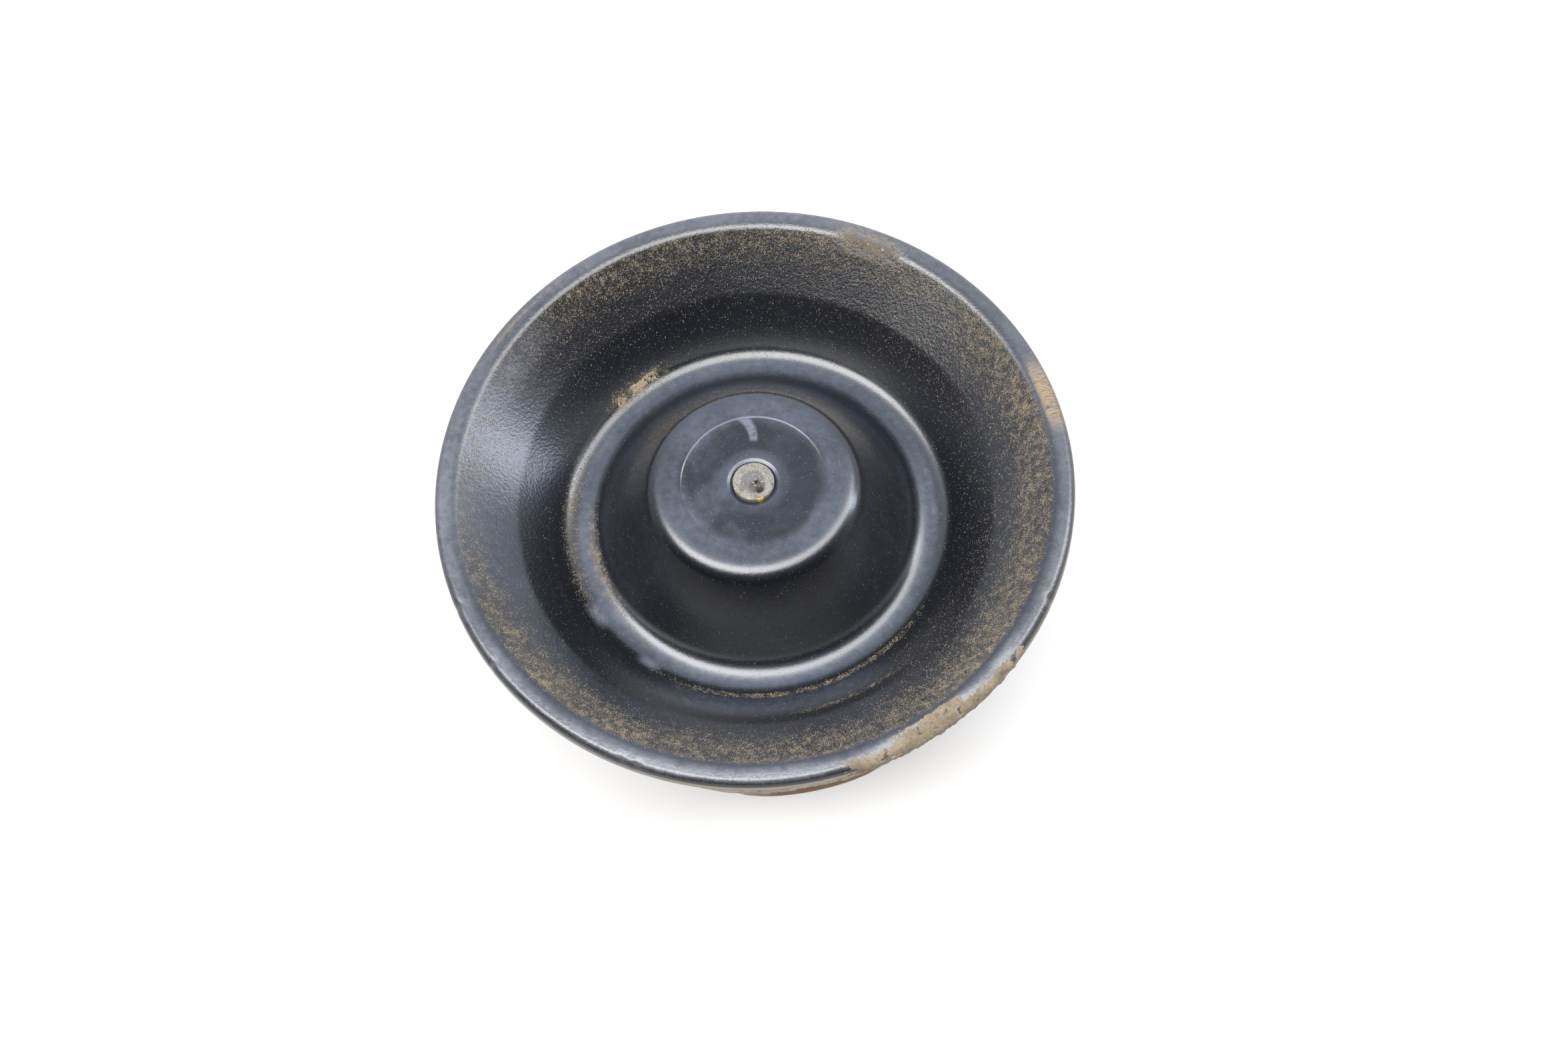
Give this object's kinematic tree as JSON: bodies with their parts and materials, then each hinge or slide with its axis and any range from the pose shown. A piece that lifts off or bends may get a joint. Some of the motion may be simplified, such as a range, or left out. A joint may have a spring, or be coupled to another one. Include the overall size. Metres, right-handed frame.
{
  "type": "electric disc horn",
  "caption": "Electric disc horn for a road vehicle: pressed tone disc on a springy diaphragm, driven by an electromagnet and contact breaker, on a swivelling bracket.",
  "frame": {"origin": "centre of the bracket's fixing hole, on the face that is bolted to the vehicle", "axes": "+Z is the way the tone disc faces and is along the fixing hole; +Y is the way the bracket points, away from the horn's axis; +X completes the right-handed frame"},
  "size_m": [0.092, 0.108, 0.0597],
  "materials": {
    "black_ecoat": "satin black dip coat over pressed steel, dusty",
    "black_paint": "semi-gloss black paint on pressed steel",
    "zinc_steel": "zinc-plated steel, slightly dulled",
    "dull_zinc": "old cream-coloured zinc plating with rust at its lower edge",
    "bare_steel": "bare peened steel, dusty",
    "spring_steel": "oiled spring steel sheet",
    "soft_iron": "machined soft iron",
    "gasket_paper": "pressed gasket paper",
    "natural_nylon": "natural nylon",
    "enamelled_copper": "enamelled copper wire",
    "phenolic_board": "brown phenolic board",
    "contact_brass": "rolled spring brass",
    "tungsten": "sintered tungsten",
    "red_insulation": "red wire insulation",
    "resistor_ceramic": "glazed ceramic",
    "black_rubber": "moulded black rubber",
    "black_nylon": "glass-filled black nylon",
    "tinned_brass": "tinned brass"
  },
  "bodies": {
    "bracket": {"mounting_bracket": "black_paint"},
    "horn": {"housing_shell": "black_paint", "clamp_ring": "dull_zinc", "rear_gasket": "gasket_paper", "diaphragm": "spring_steel", "front_gasket": "gasket_paper", "pole_core": "soft_iron", "coil_bobbin": "natural_nylon", "coil_winding": "enamelled_copper", "coil_leads": "enamelled_copper", "pole_plate": "soft_iron", "plate_rivets": "zinc_steel", "bracket_stud": "zinc_steel", "lock_washer": "zinc_steel", "bracket_nut": "zinc_steel", "lower_insulator": "phenolic_board", "upper_insulator": "phenolic_board", "contact_carrier": "contact_brass", "fixed_contact": "tungsten", "breaker_rivets": "zinc_steel", "contact_lead": "red_insulation", "arc_resistor": "resistor_ceramic", "resistor_leads": "zinc_steel", "adjuster_seal": "black_rubber", "connector_housing": "black_nylon", "connector_seal": "black_rubber", "connector_rivets": "zinc_steel", "terminal_supply": "tinned_brass", "terminal_return": "tinned_brass"},
    "armature": {"armature": "soft_iron", "armature_stud": "bare_steel", "rear_washer": "zinc_steel", "front_washer": "zinc_steel", "spacer_sleeve": "soft_iron", "tone_disc": "black_ecoat"},
    "breaker_arm": {"contact_blade": "contact_brass", "moving_contact": "tungsten", "push_button": "phenolic_board"},
    "adjuster": {"adjusting_screw": "zinc_steel"}
  },
  "joints": [
    {"name": "bracket_swivel", "type": "hinge", "parent": "bracket", "child": "horn", "pos_m": [0, -0.05, 0.0125], "axis": [0, 0, 1], "continuous": true},
    {"name": "armature_slide", "type": "slide", "parent": "horn", "child": "armature", "axis": [0, 0, 1], "range_m": [-0.0008, 0], "stiffness_N_per_m": 4000, "springref_m": 0.001, "deforming": ["diaphragm"]},
    {"name": "breaker_tilt", "type": "hinge", "parent": "horn", "child": "breaker_arm", "pos_m": [-0.02468, -0.03575, 0.0346], "axis": [-0.5, -0.866, 0], "range_deg": [-3.3, 0]},
    {"name": "adjuster_turn", "type": "hinge", "parent": "horn", "child": "adjuster", "pos_m": [-0.02695, -0.04368, 0.025], "axis": [0, 0, 1], "range_deg": [-180, 180]}
  ],
  "couplings": [
    {"joint": "breaker_tilt", "follows": "armature_slide", "rad_per_m": 70}
  ]
}
